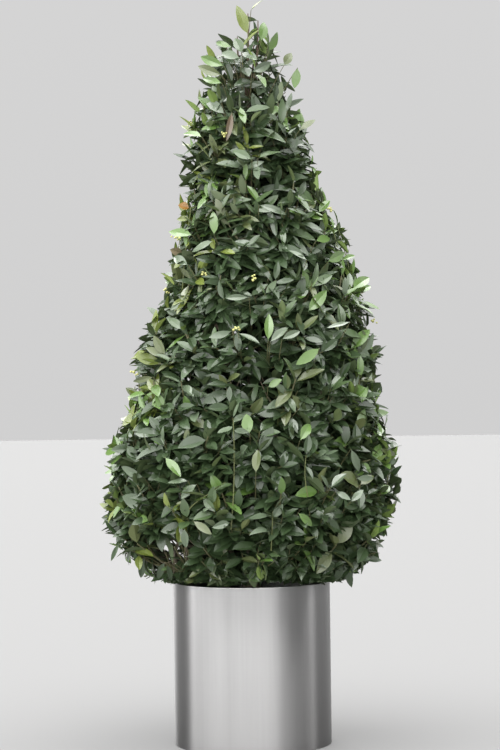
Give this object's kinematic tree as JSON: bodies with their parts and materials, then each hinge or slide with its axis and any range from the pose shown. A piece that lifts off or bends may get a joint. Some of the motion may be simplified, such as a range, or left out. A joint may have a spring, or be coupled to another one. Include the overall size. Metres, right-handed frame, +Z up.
{
  "type": "potted bay pyramid topiary",
  "caption": "Tall clipped evergreen pyramid of pointed dark green leaves on one trunk, rooted in soil inside a straight-sided brushed steel cylinder planter with a folded rim.",
  "frame": {"origin": "centre of the planter's flat underside", "axes": "+Z up along the trunk, -Y towards the front of the picture, +X to its right"},
  "size_m": [0.9534, 0.9569, 2.3434],
  "materials": {
    "planter": "satin brushed",
    "soil": "matt, crumbly potting soil",
    "bark": "matt, fine grey-brown bark",
    "leaf": "waxy, satin leaves"
  },
  "bodies": {
    "root": {"bough_lower_1": "bark", "bough_lower_2": "bark", "bough_lower_3": "bark", "bough_lower_4": "bark", "bough_lower_5": "bark", "bough_middle_1": "bark", "bough_middle_2": "bark", "bough_middle_3": "bark", "bough_middle_4": "bark", "bough_shoulder_1": "bark", "bough_shoulder_2": "bark", "bough_skirt_1": "bark", "bough_skirt_2": "bark", "bough_skirt_3": "bark", "bough_skirt_4": "bark", "bough_skirt_5": "bark", "bough_skirt_6": "bark", "bough_upper_1": "bark", "bough_upper_2": "bark", "bough_upper_3": "bark", "foliage_lower_1": "leaf", "foliage_lower_2": "leaf", "foliage_lower_3": "leaf", "foliage_lower_4": "leaf", "foliage_lower_5": "leaf", "foliage_middle_1": "leaf", "foliage_middle_2": "leaf", "foliage_middle_3": "leaf", "foliage_middle_4": "leaf", "foliage_shoulder_1": "leaf", "foliage_shoulder_2": "leaf", "foliage_skirt_1": "leaf", "foliage_skirt_2": "leaf", "foliage_skirt_3": "leaf", "foliage_skirt_4": "leaf", "foliage_skirt_5": "leaf", "foliage_skirt_6": "leaf", "foliage_tip": "leaf", "foliage_upper_1": "leaf", "foliage_upper_2": "leaf", "foliage_upper_3": "leaf", "planter": "planter", "soil": "soil", "trunk": "bark"}
  },
  "joints": []
}
